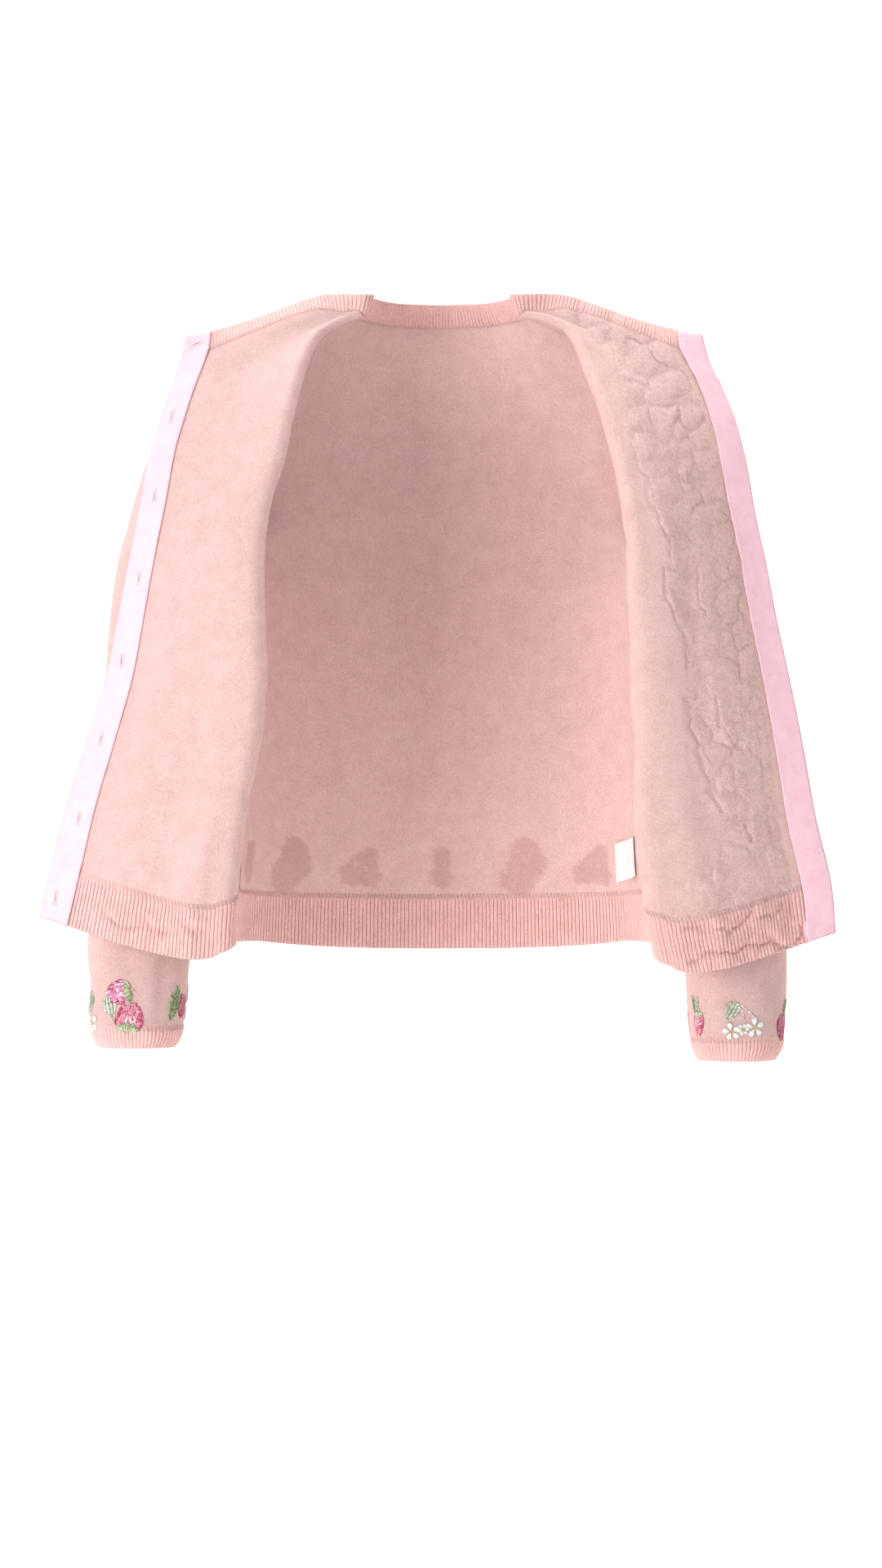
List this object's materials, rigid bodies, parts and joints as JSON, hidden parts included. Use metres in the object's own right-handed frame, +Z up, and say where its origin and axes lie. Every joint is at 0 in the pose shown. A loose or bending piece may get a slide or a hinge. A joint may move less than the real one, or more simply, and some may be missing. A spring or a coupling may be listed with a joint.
{
  "type": "cardigan",
  "caption": "Fine-knit buttoned cardigan in its worn shape, with both fronts turned back over the long sleeves, ribbed bands and ribbon-faced front edges.",
  "frame": {"origin": "the middle of the neck at the height of the shoulders, where the wearer carries the garment", "axes": "+X towards the wearer's left, -Y towards the wearer's front, +Z up"},
  "size_m": [0.6434, 0.2092, 0.6279],
  "materials": {
    "wool_knit": "fine brushed wool knit, matt with a short nap",
    "wool_rib": "one-by-one rib knit, matt",
    "ribbon": "grosgrain ribbon with a faint sheen",
    "label_cloth": "plain woven label, satin",
    "button_pearl": "brownish pearl"
  },
  "bodies": {
    "root": {"back": "wool_knit", "front_right": "wool_knit", "front_left": "wool_knit", "sleeve_right": "wool_knit", "sleeve_left": "wool_knit", "neckband": "wool_rib", "hem_band": "wool_rib", "cuff_right": "wool_rib", "cuff_left": "wool_rib", "ribbon_right": "ribbon", "ribbon_left": "ribbon", "label": "label_cloth", "button_1": "button_pearl", "button_2": "button_pearl", "button_3": "button_pearl", "button_4": "button_pearl", "button_5": "button_pearl", "button_6": "button_pearl", "button_7": "button_pearl", "button_8": "button_pearl"}
  },
  "joints": []
}
